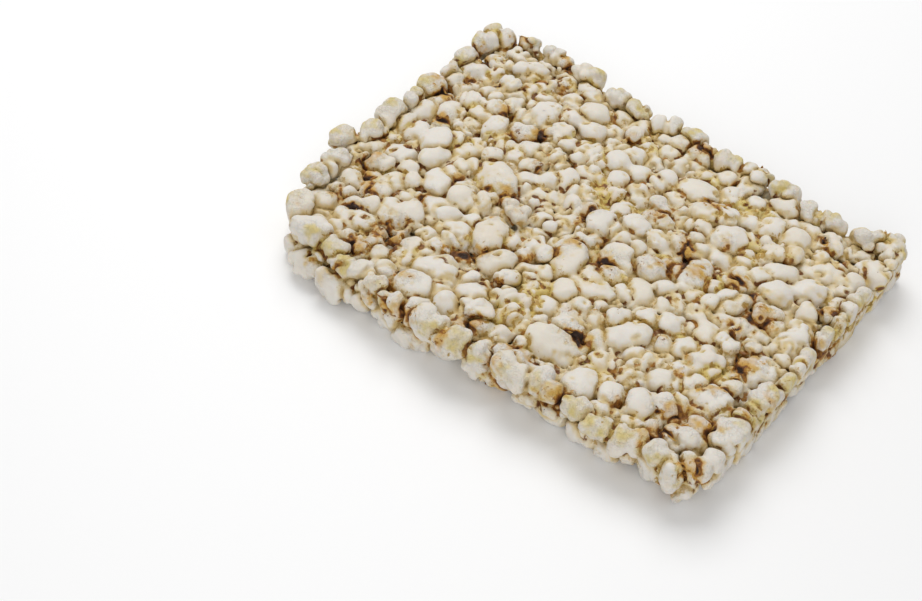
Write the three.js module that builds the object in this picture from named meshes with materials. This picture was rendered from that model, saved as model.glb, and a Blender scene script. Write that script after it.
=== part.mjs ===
// Puffed rice cake: one thin block of popped rice kernels fused in a hot mould.
// Millimetres, +Z up. It lies flat. The origin is the centre of its box, on the face it rests on.
// The block is one closed skin, laid over a union of ellipsoid kernels: a field of kernels on both
// faces, and two rows of kernels round the edge whose upper row stands as a raised rim.

import * as THREE from 'three';
import { mergeVertices } from 'three/addons/utils/BufferGeometryUtils.js';

// The mould that the kernels swelled against.
const LENGTH = 90; // along X
const WIDTH = 72; // along Y
const THICKNESS = 8.8; // up to the top of the rim
const CORNER_RADII = { left: 14, front: 7, right: 7, back: 6 }; // going round from the corner at -X, -Y
const FIELD_LEVEL = 7.8; // top of the kernels inside the rim

// Kernels of the rim.
const RIM_INSET = 2.1; // from the mould's side in to the kernels' centres
const RIM_PITCH = 5.3;
const RIM_KERNEL = { along: 3.4, across: 2.5, up: 2.5 }; // half sizes
const RIM_UPPER_Z = 6.2;
const RIM_LOWER_Z = 2.4;
const TALL = { share: 0.25, z: 4.7, up: 4.0 }; // kernels of the upper row that reach right down
const RIM_JITTER = 1.0; // how far a kernel is moved, out and in
const RIM_SHARE_JITTER = 0.25; // and along the edge, as a share of the pitch
const RIM_SPREAD = 0.2; // how much the sizes differ
const RIM_TURN = 0.45;
const RIM_LEAST_GAP = 3.6; // a kernel nearer than this to the last one is left out

// How far out from the mould's side the edge stands, by the place round it: 0 to 1 is the front
// side from -X to +X, then come the right, the far and the left side, anticlockwise.
const EDGE_KNOTS = [
  [0.08, -4.6], [0.16, -4.0], [0.27, -2.3], [0.34, -0.8], [0.54, -0.9], [0.63, -2.1], [0.84, -2.3],
  [0.92, -3.7], [1.07, -2.4], [1.12, 0.5], [1.31, 0.2], [1.42, 0.9], [1.89, 1.0], [1.94, -0.6],
  [2.04, -1.2], [2.12, -4.9], [2.2, -4.1], [2.31, -1.9], [2.36, -4.4], [2.48, -1.7], [2.66, -1.2],
  [2.8, 1.0], [2.9, 1.4], [2.96, 0.4], [3.05, -0.4], [3.21, -1.0], [3.57, -1.8], [3.61, 0.7], [3.64, 0.7],
  [3.69, -2.4], [3.86, -4.3], [3.92, -4.2],
];
// How much further out the lower row stands, by the same places.
const LOWER_KNOTS = [
  [0.1, 1.4], [0.17, 3.2], [0.24, 3.0], [0.3, 0.8], [0.36, -0.3], [0.55, -1.8], [0.63, -0.4],
  [0.74, -0.4], [0.85, -1.0], [1.0, -0.6], [1.12, 0.5], [1.85, 0.5], [1.95, 0], [3.8, 0], [3.92, -0.6],
];

// Kernels of the field.
const FIELD_REACH = 3.5; // from the mould's side to where kernels are dropped
const RIM_GAP = 2.7; // from the rim kernels' centres in to the nearest field kernels' ends
const EVEN_STEPS = [0.7548776662466927, 0.5698402910980532]; // each next place falls in the widest gap
const FIELD_COUNT = 140;
const FIELD_WIDTHS = { least: 1.75, most: 3.5 }; // half widths
const LEAST_STRETCH = 1.05; // a kernel is this much longer than wide, and up to MAX_STRETCH more
const MAX_STRETCH = 0.75;
const SETTLING_ROUNDS = 80;
const SETTLING_STEP = 0.35;
const PACKING = 0.98; // how close two kernels come, as a share of their half widths
const BODY_SHARE = 1.2; // a kernel's body against the room it keeps clear
const HEIGHT_SHARE = 0.95;
const LEVEL_SPREAD = 1.25; // how far a kernel's top may lie below the field's level
const UNDERSIDE_PRESS = 0.9; // how far the hot plate flattened the kernels underneath

// The skin over the kernels.
const SKIN = { alongX: 48, alongY: 38, roundEdge: 6 }; // grid cells
const WAVE_STARTS = 0.7; // share of the way from the centre where the sheet starts to follow the edge
const CREASE_REACH = 1.1; // the skin's least distance from the middle sheet
const MIDDLE_LOW = 3.4; // the middle sheet's faces
const MIDDLE_HIGH = 4.5;

const HALF = { x: LENGTH / 2, y: WIDTH / 2 };
const TINY = 1e-6;
const SEED = 20261;

// A repeatable stream of numbers from 0 to 1, from a 32-bit mix of a counter.
let drawn = 0;
function draw() {
  drawn += 1;
  let h = Math.imul(drawn + SEED, 0x9e3779b1) >>> 0;
  h = Math.imul(h ^ (h >>> 16), 0x85ebca6b) >>> 0;
  h = Math.imul(h ^ (h >>> 13), 0xc2b2ae35) >>> 0;
  return ((h ^ (h >>> 16)) >>> 0) / 2 ** 32;
}

function spread(amount) {
  return (draw() * 2 - 1) * amount;
}

// A value between knots, at a place on the closed way round the cake's four sides.
function between(knots, place) {
  const next = knots.findIndex(([at]) => at > place);
  const [a, b] = next > 0
    ? [knots[next - 1], knots[next]]
    : [knots[knots.length - 1], [knots[0][0] + 4, knots[0][1]]];
  const at = place < a[0] ? place + 4 : place;
  return a[1] + ((b[1] - a[1]) * (at - a[0])) / (b[0] - a[0]);
}

// How far the edge stands out at a point whose outward direction is given.
function edgeOut(knots, x, y, nx, ny) {
  const place = Math.abs(ny) >= Math.abs(nx)
    ? (ny < 0 ? 0.5 + x / LENGTH : 2.5 - x / LENGTH)
    : (nx > 0 ? 1.5 + y / WIDTH : 3.5 - y / WIDTH);
  return between(knots, (place + 4) % 4);
}

// The rim's centre line, going round from the start of the front edge.
function rimPath() {
  const hx = HALF.x - RIM_INSET;
  const hy = HALF.y - RIM_INSET;
  const [left, front, right, back] = Object.values(CORNER_RADII).map((r) => r - RIM_INSET);
  const path = new THREE.Path();
  path.moveTo(-hx + left, -hy);
  path.lineTo(hx - front, -hy);
  path.absarc(hx - front, -hy + front, front, -Math.PI / 2, 0);
  path.lineTo(hx, hy - right);
  path.absarc(hx - right, hy - right, right, 0, Math.PI / 2);
  path.lineTo(-hx + back, hy);
  path.absarc(-hx + back, hy - back, back, Math.PI / 2, Math.PI);
  path.lineTo(-hx, -hy + left);
  path.absarc(-hx + left, -hy + left, left, Math.PI, Math.PI * 1.5);
  return path;
}

// The path's point and direction at a share of its length, each side measured exactly.
function rimPoint(path, share) {
  let left = share * path.curves.reduce((sum, side) => sum + sideLength(side), 0);
  const side = path.curves.find((curve) => {
    if (left <= sideLength(curve)) return true;
    left -= sideLength(curve);
    return false;
  });
  const t = left / sideLength(side);
  return { point: side.getPoint(t), tangent: side.getTangent(t) };
}

function sideLength(side) {
  return side.isEllipseCurve ? (side.xRadius * Math.PI) / 2 : side.v1.distanceTo(side.v2);
}

function rimRow(z, phase, tallShare, extraKnots) {
  const path = rimPath();
  const around = path.curves.reduce((sum, side) => sum + sideLength(side), 0);
  const count = Math.round(around / RIM_PITCH);
  const row = [];
  for (let i = 0; i < count; i += 1) {
    const share = ((i + phase + spread(RIM_SHARE_JITTER)) / count + 1) % 1;
    const { point, tangent } = rimPoint(path, share);
    const way = { x: tangent.y, y: -tangent.x };
    let out = edgeOut(EDGE_KNOTS, point.x, point.y, way.x, way.y) + spread(RIM_JITTER / 2);
    if (extraKnots) out += edgeOut(extraKnots, point.x, point.y, way.x, way.y);
    const size = 1 + spread(RIM_SPREAD);
    const kernel = {
      x: point.x + way.x * out,
      y: point.y + way.y * out,
      z: z + spread(RIM_JITTER / 3),
      turn: Math.atan2(tangent.y, tangent.x) + spread(RIM_TURN),
      along: RIM_KERNEL.along * size,
      across: RIM_KERNEL.across * size,
      up: RIM_KERNEL.up * size,
      way,
    };
    if (draw() < tallShare) Object.assign(kernel, { z: TALL.z, up: TALL.up });
    const last = row[row.length - 1];
    if (!last || Math.hypot(kernel.x - last.x, kernel.y - last.y) >= RIM_LEAST_GAP) row.push(kernel);
  }
  return row;
}

// How far a place lies outside the line where the field ends, beside the nearest of the rim's kernels.
function beyondField(rim, x, y) {
  const squared = (k) => (k.x - x) ** 2 + (k.y - y) ** 2;
  const near = rim.reduce((best, k) => (squared(k) < squared(best) ? k : best));
  return { over: (x - near.x) * near.way.x + (y - near.y) * near.way.y + RIM_GAP, way: near.way };
}

// Shoves the two ends of each kernel apart from all others until they lie side by side.
function settle(kernels, rim) {
  for (let round = 0; round < SETTLING_ROUNDS; round += 1) {
    const ends = kernels.flatMap((k) => k.ends.map((end) => ({ ...end, kernel: k, reach: k.across })));
    const moved = ends.map((a) => {
      let { x, y } = a;
      for (const b of ends) {
        if (b.kernel !== a.kernel) {
          const apart = Math.sqrt((a.x - b.x) ** 2 + (a.y - b.y) ** 2) + TINY;
          const push = (SETTLING_STEP * Math.max(PACKING * (a.reach + b.reach) - apart, 0)) / apart;
          x += (a.x - b.x) * push;
          y += (a.y - b.y) * push;
        }
      }
      const { over, way } = beyondField(rim, x, y);
      const back = Math.max(over, 0);
      return { x: x - way.x * back, y: y - way.y * back };
    });
    kernels.forEach((k, i) => {
      const [a, b] = moved.slice(2 * i, 2 * i + 2);
      k.x = (a.x + b.x) / 2;
      k.y = (a.y + b.y) / 2;
      k.turn = Math.atan2(b.y - a.y, b.x - a.x);
      k.ends = endsOf(k);
    });
  }
}

function endsOf({ x, y, turn, along, across }) {
  const dx = (along - across) * Math.cos(turn);
  const dy = (along - across) * Math.sin(turn);
  return [{ x: x - dx, y: y - dy }, { x: x + dx, y: y + dy }];
}

// Kernels dropped in evenly and then settled side by side.
function fieldLayer(rim, centreZ) {
  const layer = [];
  let [atX, atY] = [draw(), draw()];
  while (layer.length < FIELD_COUNT) {
    atX = (atX + EVEN_STEPS[0]) % 1;
    atY = (atY + EVEN_STEPS[1]) % 1;
    const x = (atX * 2 - 1) * (HALF.x - FIELD_REACH);
    const y = (atY * 2 - 1) * (HALF.y - FIELD_REACH);
    if (beyondField(rim, x, y).over < 0) {
      const across = FIELD_WIDTHS.least + (FIELD_WIDTHS.most - FIELD_WIDTHS.least) * draw();
      const along = across * (LEAST_STRETCH + draw() * MAX_STRETCH);
      const kernel = { x, y, turn: draw() * Math.PI, along, across, level: draw() * LEVEL_SPREAD };
      layer.push({ ...kernel, ends: endsOf(kernel) });
    }
  }
  settle(layer, rim);
  return layer.map(({ x, y, turn, along, across, level }) => {
    const up = across * HEIGHT_SHARE;
    return { x, y, z: centreZ(up, level), turn, along: along * BODY_SHARE, across: across * BODY_SHARE, up };
  });
}

function allKernels() {
  const upper = rimRow(RIM_UPPER_Z, 0, TALL.share, null);
  const lower = rimRow(RIM_LOWER_Z, 0.5, 0, LOWER_KNOTS);
  const top = fieldLayer(upper, (up, level) => FIELD_LEVEL - level - up);
  const bottom = fieldLayer(lower, (up, level) => up - UNDERSIDE_PRESS * (1 - level));
  return [...upper, ...lower, ...top, ...bottom];
}

// A point of the mould's outline, pulled in from the square-cornered one, and the direction outward.
function outlinePoint(x, y) {
  const { left, front, right, back } = CORNER_RADII;
  const radius = (y < 0 ? (x < 0 ? left : front) : (x > 0 ? right : back)) - RIM_INSET;
  const [hx, hy] = [HALF.x - RIM_INSET, HALF.y - RIM_INSET];
  const dx = Math.max(Math.abs(x) - (hx - radius), 0);
  const dy = Math.max(Math.abs(y) - (hy - radius), 0);
  if (dx === 0 || dy === 0) {
    const nearerX = hx - Math.abs(x) < hy - Math.abs(y);
    return { x, y, nx: nearerX ? Math.sign(x) : 0, ny: nearerX ? 0 : Math.sign(y) };
  }
  const length = Math.hypot(dx, dy);
  const pull = Math.max(dx, dy) / length;
  return {
    x: Math.sign(x) * (hx - radius + dx * pull),
    y: Math.sign(y) * (hy - radius + dy * pull),
    nx: (Math.sign(x) * dx) / length,
    ny: (Math.sign(y) * dy) / length,
  };
}

// A point of the middle sheet, whose border follows the rim's wavy line, and the direction outward.
function sheetPoint(u, v, height) {
  const [hx, hy] = [HALF.x - RIM_INSET, HALF.y - RIM_INSET];
  const share = Math.max(Math.abs(u), Math.abs(v), TINY);
  const border = outlinePoint((u / share) * hx, (v / share) * hy);
  const lower = edgeOut(LOWER_KNOTS, border.x, border.y, border.nx, border.ny) * Math.max(-height, 0);
  const out = edgeOut(EDGE_KNOTS, border.x, border.y, border.nx, border.ny) + lower;
  const moved = out * THREE.MathUtils.smoothstep(share, WAVE_STARTS, 1);
  const spot = outlinePoint(u * hx, v * hy);
  return { x: spot.x + border.nx * moved, y: spot.y + border.ny * moved, nx: border.nx, ny: border.ny };
}

// How far a ray runs from its start until it leaves a kernel for good, or 0 where it misses.
function exitDistance(start, way, kernel) {
  const c = Math.cos(kernel.turn);
  const s = Math.sin(kernel.turn);
  const toLocal = (x, y, z) => new THREE.Vector3(
    (x * c + y * s) / kernel.along,
    (y * c - x * s) / kernel.across,
    z / kernel.up,
  );
  const from = toLocal(start.x - kernel.x, start.y - kernel.y, start.z - kernel.z);
  const along = toLocal(way.x, way.y, way.z);
  const a = along.lengthSq();
  const b = from.dot(along);
  const root = b * b - a * (from.lengthSq() - 1);
  return root < 0 ? 0 : (Math.sqrt(root) - b) / a;
}

// How far a ray runs from its start to the nearest wall of the mould.
function mouldDistance(start, way) {
  const walls = [
    [way.x, HALF.x - Math.sign(way.x) * start.x],
    [way.y, HALF.y - Math.sign(way.y) * start.y],
    [way.z, way.z > 0 ? THICKNESS - start.z : start.z],
  ];
  return Math.min(...walls.map(([speed, gap]) => gap / Math.max(Math.abs(speed), TINY)));
}

// A fine box whose every vertex is pushed out from the middle sheet to the outermost kernel.
function cakeGeometry(kernels) {
  const box = new THREE.BoxGeometry(2, 2, 2, SKIN.alongX, SKIN.alongY, SKIN.roundEdge);
  box.deleteAttribute('normal');
  box.deleteAttribute('uv');
  const skin = mergeVertices(box);
  const position = skin.getAttribute('position');
  for (let i = 0; i < position.count; i += 1) {
    const height = position.getZ(i);
    const spot = sheetPoint(position.getX(i), position.getY(i), height);
    const middle = (MIDDLE_HIGH + MIDDLE_LOW) / 2 + (height * (MIDDLE_HIGH - MIDDLE_LOW)) / 2;
    const start = new THREE.Vector3(spot.x, spot.y, middle);
    const tilt = (height * Math.PI) / 2;
    const flat = Math.abs(height) === 1 ? 0 : Math.cos(tilt);
    const way = new THREE.Vector3(spot.nx * flat, spot.ny * flat, Math.sin(tilt));
    const reach = kernels.reduce((far, k) => Math.max(far, exitDistance(start, way, k)), CREASE_REACH);
    start.addScaledVector(way, Math.min(reach, mouldDistance(start, way)));
    position.setXYZ(i, start.x, start.y, start.z);
  }
  skin.computeVertexNormals();
  return skin;
}

const puffedRice = new THREE.MeshStandardMaterial({ color: 0xe3d8c2, roughness: 0.85, metalness: 0 });
const cake = new THREE.Mesh(cakeGeometry(allKernels()), puffedRice);
cake.name = 'puffed_rice_cake';

const group = new THREE.Group();
group.add(cake);

export default group;
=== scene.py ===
"""Puffed rice cake: popped kernels fused in a hot mould, with toasted bran caught between them.

Lengths are millimetres, +Z up, in the frame of the CAD model, until a mesh is written in metres.
The kernels are the CAD model's own: the same repeatable scatter, grown here into lobed grains on
a voxel grid of signed distances, cut into pieces along the creases between grains.
"""

import math
from dataclasses import dataclass
from types import SimpleNamespace

import bmesh
import bpy
import numpy as np
import openvdb
from mathutils import Matrix, Vector


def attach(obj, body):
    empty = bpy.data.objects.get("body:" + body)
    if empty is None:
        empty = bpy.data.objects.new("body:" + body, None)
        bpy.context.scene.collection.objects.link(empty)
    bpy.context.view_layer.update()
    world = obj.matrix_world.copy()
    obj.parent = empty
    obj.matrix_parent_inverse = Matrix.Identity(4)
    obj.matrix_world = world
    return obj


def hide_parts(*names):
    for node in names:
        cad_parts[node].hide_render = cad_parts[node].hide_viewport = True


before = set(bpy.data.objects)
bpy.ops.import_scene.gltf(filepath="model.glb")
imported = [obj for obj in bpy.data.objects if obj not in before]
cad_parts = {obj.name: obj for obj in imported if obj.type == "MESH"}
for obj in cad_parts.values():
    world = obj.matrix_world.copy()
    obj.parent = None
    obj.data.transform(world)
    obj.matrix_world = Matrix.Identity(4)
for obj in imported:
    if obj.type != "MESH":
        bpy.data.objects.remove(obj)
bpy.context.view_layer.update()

MM = 0.001
NODE = "puffed_rice_cake"

# ---- The mould and the scatter of kernels, as in the CAD model ----

LENGTH, WIDTH, THICKNESS = 90.0, 72.0, 8.8
HALF_X, HALF_Y = LENGTH / 2, WIDTH / 2
CORNER_RADII = (14.0, 7.0, 7.0, 6.0)  # from the corner at -X, -Y, anticlockwise
FIELD_LEVEL = 7.8

RIM_INSET = 2.1
RIM_PITCH = 5.3
RIM_HALF_SIZE = (3.4, 2.5, 2.5)  # along the edge, across it, upwards
RIM_UPPER_Z, RIM_LOWER_Z = 6.2, 2.4
TALL_SHARE, TALL_Z, TALL_HALF = 0.25, 4.7, 4.0  # kernels of the upper row that reach right down
RIM_JITTER = 1.0
RIM_SHARE_JITTER = 0.25
RIM_LEAST_GAP = 3.6
RIM_SPREAD = 0.2
RIM_TURN = 0.45
# How far out from the mould's side the edge stands, by the place round it: 0 to 1 is the front
# side from -X to +X, then come the right, the far and the left side, anticlockwise.
EDGE_KNOTS = (
    (0.08, -4.6), (0.16, -4.0), (0.27, -2.3), (0.34, -0.8), (0.54, -0.9), (0.63, -2.1), (0.84, -2.3),
    (0.92, -3.7), (1.07, -2.4), (1.12, 0.5), (1.31, 0.2), (1.42, 0.9), (1.89, 1.0), (1.94, -0.6),
    (2.04, -1.2), (2.12, -4.9), (2.2, -4.1), (2.31, -1.9), (2.36, -4.4), (2.48, -1.7), (2.66, -1.2),
    (2.8, 1.0), (2.9, 1.4), (2.96, 0.4), (3.05, -0.4), (3.21, -1.0), (3.57, -1.8), (3.61, 0.7), (3.64, 0.7),
    (3.69, -2.4), (3.86, -4.3), (3.92, -4.2),
)
# How much further out the lower row stands, by the same places.
LOWER_KNOTS = (
    (0.1, 1.4), (0.17, 3.2), (0.24, 3.0), (0.3, 0.8), (0.36, -0.3), (0.55, -1.8), (0.63, -0.4),
    (0.74, -0.4), (0.85, -1.0), (1.0, -0.6), (1.12, 0.5), (1.85, 0.5), (1.95, 0), (3.8, 0), (3.92, -0.6),
)

FIELD_REACH = 3.5  # from the mould's side to where kernels are dropped
RIM_GAP = 2.7  # from the rim kernels' centres in to the nearest field kernels' ends
EVEN_STEPS = (0.7548776662466927, 0.5698402909980532)  # each next place falls in the widest gap
FIELD_COUNT, FIELD_WIDTHS = 140, (1.75, 3.5)
LEAST_STRETCH, MAX_STRETCH = 1.05, 0.75
SETTLING_ROUNDS, SETTLING_STEP = 80, 0.35
PACKING = 0.98
BODY_SHARE = 1.2
HEIGHT_SHARE = 0.95
LEVEL_SPREAD = 1.25
UNDERSIDE_PRESS = 0.9
SEED = 20261

# Grains seen only down the gaps between the others.
DEEP_COUNT, DEEP_WIDTHS = 190, (1.6, 2.7)
DEEP_LEVEL, DEEP_UNDERSIDE = 7.25, 0.3
HOLE_DARK, HOLE_REACH = 0.85, 0.2

# Smaller grains that plug the rim between its two rows.
PLUG_COUNT, PLUG_OUT, PLUG_JITTER = 96, -0.2, 0.6
PLUG_Z, PLUG_RISE = 4.4, 1.7
PLUG_ALONG, PLUG_ACROSS = (1.9, 2.9), (1.7, 2.3)

# ---- The voxel grid ----

VOXEL = 0.28
GRID_LOW = np.array((-47.0, -38.0, -1.5))
GRID_HIGH = np.array((47.0, 38.0, 10.5))
FAR = 2.0
MIDDLE_Z = 4.2  # where the upper and lower field meet, out of sight
NOISE_TILE = 96
GROUPS = ("top_a", "top_b", "bottom_a", "bottom_b", "rim_near", "rim_far")
MOST_TRIANGLES = 158000
TINY, LEAST_SLOPE = 1e-6, 0.15
NOISE_BAND = 0.45

# ---- The grains' shapes ----

PLUMP = 2.2  # 2 is an ellipsoid, more is squarer
LEAN = 0.26
MARGIN_ALONG, MARGIN_UP = 1.2, 1.0  # how far a grain may stand out of its kernel

# The share of kernels that popped into a bunch of knobs.
KNOBBLY_RIM, KNOBBLY_LARGE, KNOBBLY_SMALL, KNOBBLY_DEEP = 0.5, 0.26, 0.04, 0.03
LARGE_KERNEL = 2.4
# The others stayed whole, or are a chain or, if round, a cluster of lobes.
LONG_KERNEL, ROUND_KERNEL = 1.6, 1.3  # length over width
WHOLE_LONG, WHOLE_ROUND, CLUSTERED = 0.12, 0.35, 0.7

# The lobes, in shares of the kernel's half sizes, but for how far they blend.
LOBE_BLEND, KNOB_BLEND, MOST_LOBES = (0.2, 0.7), (0.1, 0.3), 4  # with more it is a bunch
CLUSTER_COUNT, CLUSTER_TURN, CLUSTER_OUT = (2, 4), 0.2, (0.28, 0.42)
CLUSTER_PAIR, CLUSTER_THREE = (0.72, 0.86), (0.66, 0.8)
CLUSTER_UP, CLUSTER_HEIGHT = (-0.15, 0.12), (0.78, 0.92)
CHAIN_COUNT, CHAIN_MORE, CHAIN_BEND, CHAIN_WANDER = 1.1, (-0.4, 0.6), 0.3, 0.1
CHAIN_END, CHAIN_OVERLAP, CHAIN_LEAST = 0.82, 0.62, 0.72
CHAIN_UP, CHAIN_WIDTH, CHAIN_HEIGHT = (-0.14, 0.08), (0.8, 1.0), (0.86, 1.0)
KNOB_SIZE, KNOB_COUNT, KNOB_TURN, KNOB_WANDER = (0.42, 0.62), (5, 8), 2.4, 0.3
KNOB_OUT, KNOB_MIDDLE, KNOB_DOWN = (0.95, 1.1), 0.7, 1.15  # 1 is down to the middle, 2 is all round

SWELLS = ((2.6, 0.06), (1.2, 0.014))  # bumps on every grain: their size and depth
FOLD_SIZE, FOLD_SHARPNESS, FOLD_DEPTH, FOLDED = 3.4, 0.22, 0.3, (-1.0, 0.8)
RIDGED_RIM, RIDGED_FIELD = 0.4, 0.2
RIDGE_PITCH, RIDGE_DEPTH, RIDGE_SLANT = (1.3, 2.4), (0.12, 0.3), 0.4
FACET_TURN, FACET_LEAN, FACET_DEPTH = 0.4, 0.3, (0.7, 0.92)
TIPPED, TIP_TILT, TIP_HEIGHT = 0.6, 0.35, (0.72, 0.92)  # rim grains with a flattened top
RIM_TOP, FIELD_TOP = (0.05, 0.5), (0.0, 0.5)  # below the mould, above the field's level
RIGHT_SIDE, RIGHT_WALL, RIGHT_TOP = 0.7, (44.4, 45.0), (8.0, 8.6)
PRESS_EDGE, MOULD_EDGE = 0.8, 0.3
GROOVE_DEPTH, GROOVE_WIDTH = 0.45, 0.32
FUSE_REACH, FUSE_SLOPE, FUSE_LEAST, FUSE_SHIFT = 0.2, 0.6, 0.05, (9, 9, 9)
FUSED_LINE = 0.55  # how much of a crease's colour fusing takes away
CREASE_REACH, SHARP_CREASE, FAINT_CREASE = 0.75, 0.8, 0.3
CAVITY_RADIUS = 3  # voxels
CORE_GAP = 2.2  # from the line of the rim's kernels in to the core
CORE_LOW, CORE_HIGH, CORE_ROUGH = 1.9, 5.3, 0.6

# ---- Where it is toasted ----

# The places that show most, by the cake's plan: place, length, width, turn, how dark.
TOASTED = (
    (-39.6, 25.6, 3.0, 1.2, -44, 0.85), (-38.1, 11.8, 2.6, 1.8, -29, 0.9), (-34.1, 6.2, 1.8, 1.2, 46, 1.0),
    (-18.7, 14.7, 2.6, 1.6, 101, 0.95), (-26.6, 14.8, 2.2, 1.3, 1, 0.85), (5.1, 30.3, 3.0, 1.8, 14, 0.75),
    (17.0, 7.2, 4.4, 1.2, -52, 1.0), (21.1, 3.5, 2.2, 1.6, -11, 1.0), (16.8, 2.4, 7.0, 2.2, 38, 0.5),
    (8.4, -3.7, 3.0, 1.8, -30, 1.0), (8.7, 12.2, 3.2, 2.4, 45, 0.6), (14.5, -19.6, 3.2, 2.0, 17, 0.85),
    (26.7, 6.6, 2.2, 1.4, 16, 0.9), (33.5, 2.4, 3.8, 2.4, 16, 0.75), (36.6, -7.5, 4.0, 1.1, -72, 1.0),
    (36.6, -14.9, 3.4, 0.9, 31, 0.9), (-36.1, -10.5, 1.8, 1.8, -47, 1.0), (-33.0, -14.6, 1.6, 3.8, 46, 0.8),
    (-21.8, -21.9, 3.6, 3.2, 45, 0.85), (-24.0, -27.1, 2.8, 1.8, -6, 1.0), (-9.7, -17.0, 5.0, 1.6, 31, 0.9),
    (-8.4, -34.3, 3.6, 2.2, -11, 0.7), (0.7, -28.8, 3.0, 1.4, 20, 0.9), (8.4, -29.0, 2.6, 1.4, 40, 0.85),
    (18.6, -32.0, 3.6, 2.2, 31, 0.7), (33.8, -22.4, 3.2, 1.6, 30, 0.85), (34.4, -27.4, 4.6, 1.6, 56, 0.7),
    (38.6, -21.9, 5.0, 2.4, 18, 0.65), (41.1, 11.1, 2.0, 1.1, 31, 0.95), (42.2, -29.8, 2.4, 1.6, 10, 0.7),
)
LOOSE_TOASTED = 190  # more of them, smaller, scattered over the whole surface
LOOSE_LENGTH, LOOSE_WIDTH, LOOSE_DARK = (0.8, 2.6), (0.3, 0.8), (0.3, 0.95)
LOOSE_LEVELS, LOOSE_SHARES = (0.5, 7.2), (0.4, 0.42)  # underside, top, and the rest on the sides
SIDE_LINE = (43.0, 34.0)
TOAST_DEPTH, TOAST_LEVEL = 2.6, FIELD_LEVEL - 0.6
TOAST_LENGTH, TOAST_WIDTH, TOAST_ROUGH = 0.72, 0.9, 0.22
TOAST_REACH, TOAST_MARGIN, TOAST_END = 1.6, 1.0, 1.5
HUSK_END, HUSK_SLOPE, HUSK_LEAST = 1.8, 0.8, 0.4  # the yellow round a toasted place
# The patch of husk on a rim kernel: how many have one, and its place in shares of the kernel.
HUSKED_RIM, HUSK_WIDTH = 0.88, (2.2, 3.8)
HUSK_OUT, HUSK_UP, HUSK_SLIP = (0.2, 0.9), (0.3, 0.9), 0.6
PATCH_REACH, PATCH_END, PATCH_MOST = 1.5, 1.6, 1.1

# ---- Bran flakes ----

FLAKE_BROWN, FLAKE_CREASE, FLAKE_APART = 0.42, (0.5, 0.85), 2.3
FLAKE_LENGTH, FLAKE_WIDTH, FLAKE_THICKNESS = (0.9, 2.4), (0.25, 0.65), 0.12
FLAKE_TURN, FLAKE_TIP, FLAKE_CURL, FLAKE_RAGGED, FLAKE_LIFT = 0.5, 0.9, 0.3, 0.3, -0.06
FLAKE_WAVES = (3.7, 2.3, 9)  # along, across, and how each flake differs
FLAKE_SIDES = (8, 7)  # points round a ring, and steps from end to end
WELD = 0.001

# ---- Maps ----

MAP_NAME = "OFBake"
MAP_STRIP, MAP_EDGE = 0.86, 0.004
FACING_AWAY = -0.2  # the least that a normal may point along the view

# ---- Colours ----

COOL_WHITE = (0.725, 0.685, 0.62)
CREAM = (0.72, 0.645, 0.51)
BLUSH = (0.69, 0.60, 0.49)
# Painted shade: the warm cream down the grains' sides, towards the creases and folds.
SHADED_SIDE_CREAM = (0.68, 0.57, 0.355)
# Tan skin in patches, partly painted shade along the creases and folds.
SKIN_AND_SHADE_TAN = (0.62, 0.455, 0.17)
HUSK_YELLOW = (0.64, 0.50, 0.12)
# Dark olive lines along every crease: partly husk, partly painted shade.
OLIVE_HUSK_AND_SHADE_LINE = (0.27, 0.155, 0.025)
FLECK = (0.42, 0.26, 0.06)
STROKE = (0.37, 0.165, 0.02)
# Painted shade in the hollows between the grains: tan, and brown where deepest; that brown also colours
# small dark specks.
SHADE_TAN = (0.53, 0.375, 0.14)
DEEP_SHADE_AND_SPECK_BROWN = (0.23, 0.11, 0.02)
GLOW = (0.60, 0.33, 0.05)
GOLD, CARAMEL = (0.57, 0.35, 0.075), (0.37, 0.155, 0.02)
BROWN, BLACK_BROWN = (0.15, 0.05, 0.008), (0.03, 0.011, 0.004)
FLOOR_WHITE = (0.92, 0.92, 0.92)

# ---- The camera, worked out from the cake's four edges, and the light ----

LENS = 56.73  # mm, on a 36 mm wide sensor
AIM = Vector((-2.3, -27.5, 8.5))
AIM_DISTANCE = 223.2
AZIMUTH, ELEVATION, ROLL = 35.91, 46.17, 4.43
CAMERA_REACH = 10  # m
FLOOR_HALF = 1.5  # m
KEY_AT, KEY_WATTS = (-0.35, 0.35, 0.6), 3.6
FILL_AT, FILL_WATTS = (0.3, -0.6, 0.35), 1.65
LIGHT_SIZE = 0.5
SKY_STRENGTH = 0.5

# ---- The scatter of kernels ----


@dataclass
class Kernel:
    at: tuple
    turn: float
    half: tuple  # half its length, width and height
    kind: str  # "top", "bottom" or "rim"
    way: tuple = ()  # outward, at the rim
    deep: bool = False  # a filler between the others


class Draws:
    """A repeatable stream of numbers from 0 to 1, from a 32-bit mix of a counter."""

    def __init__(self, seed):
        self.seed, self.count = seed, 0

    def draw(self):
        self.count += 1
        h = ((self.count + self.seed) * 0x9E3779B1) & 0xFFFFFFFF
        h = ((h ^ (h >> 16)) * 0x85EBCA6B) & 0xFFFFFFFF
        h = ((h ^ (h >> 13)) * 0xC2B2AE35) & 0xFFFFFFFF
        return (h ^ (h >> 16)) / 2**32

    def spread(self, amount):
        return (self.draw() * 2 - 1) * amount

    def between(self, low, high):
        return low + (high - low) * self.draw()


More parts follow.
